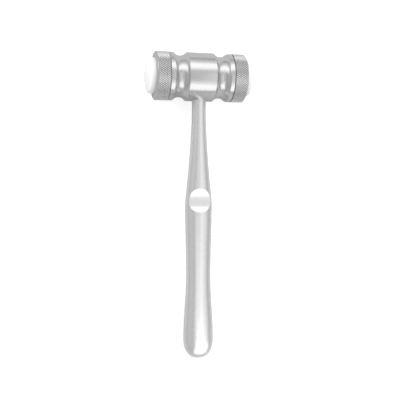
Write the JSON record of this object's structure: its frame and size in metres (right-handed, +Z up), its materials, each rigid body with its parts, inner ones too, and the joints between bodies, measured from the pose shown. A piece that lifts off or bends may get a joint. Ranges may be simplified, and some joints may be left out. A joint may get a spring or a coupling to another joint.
{
  "type": "surgical mallet",
  "caption": "Small steel surgical mallet: turned head with coves, knurled screw rings holding domed nylon faces, and a flattened oval handle with a thumb dish.",
  "frame": {"origin": "on the surface that the mallet lies on, in the middle of its outline", "axes": "+X along the head towards the right face, +Y along the handle towards the head, +Z up"},
  "size_m": [0.068, 0.1898, 0.03],
  "materials": {
    "satin_steel": "satin brushed stainless steel",
    "knurled_steel": "matt stainless steel with a fine diamond knurl",
    "nylon": "smooth white nylon"
  },
  "bodies": {
    "root": {"head": "satin_steel", "handle": "satin_steel"},
    "left_face": {"left_face": "nylon"},
    "left_ring": {"left_ring": "knurled_steel"},
    "right_face": {"right_face": "nylon"},
    "right_ring": {"right_ring": "knurled_steel"}
  },
  "joints": [
    {"name": "left_face_slide", "type": "slide", "parent": "root", "child": "left_face", "axis": [-1, 0, 0], "range_m": [0, 0.0045]},
    {"name": "left_ring_screw", "type": "hinge", "parent": "left_face", "child": "left_ring", "pos_m": [0, 0.07987, 0.015], "axis": [-1, 0, 0], "range_deg": [0, 1080]},
    {"name": "right_face_slide", "type": "slide", "parent": "root", "child": "right_face", "axis": [1, 0, 0], "range_m": [0, 0.0045]},
    {"name": "right_ring_screw", "type": "hinge", "parent": "right_face", "child": "right_ring", "pos_m": [0, 0.07987, 0.015], "axis": [1, 0, 0], "range_deg": [0, 1080]}
  ],
  "couplings": [
    {"joint": "left_face_slide", "follows": "left_ring_screw", "m_per_rad": 0.00023873},
    {"joint": "right_face_slide", "follows": "right_ring_screw", "m_per_rad": 0.00023873}
  ]
}
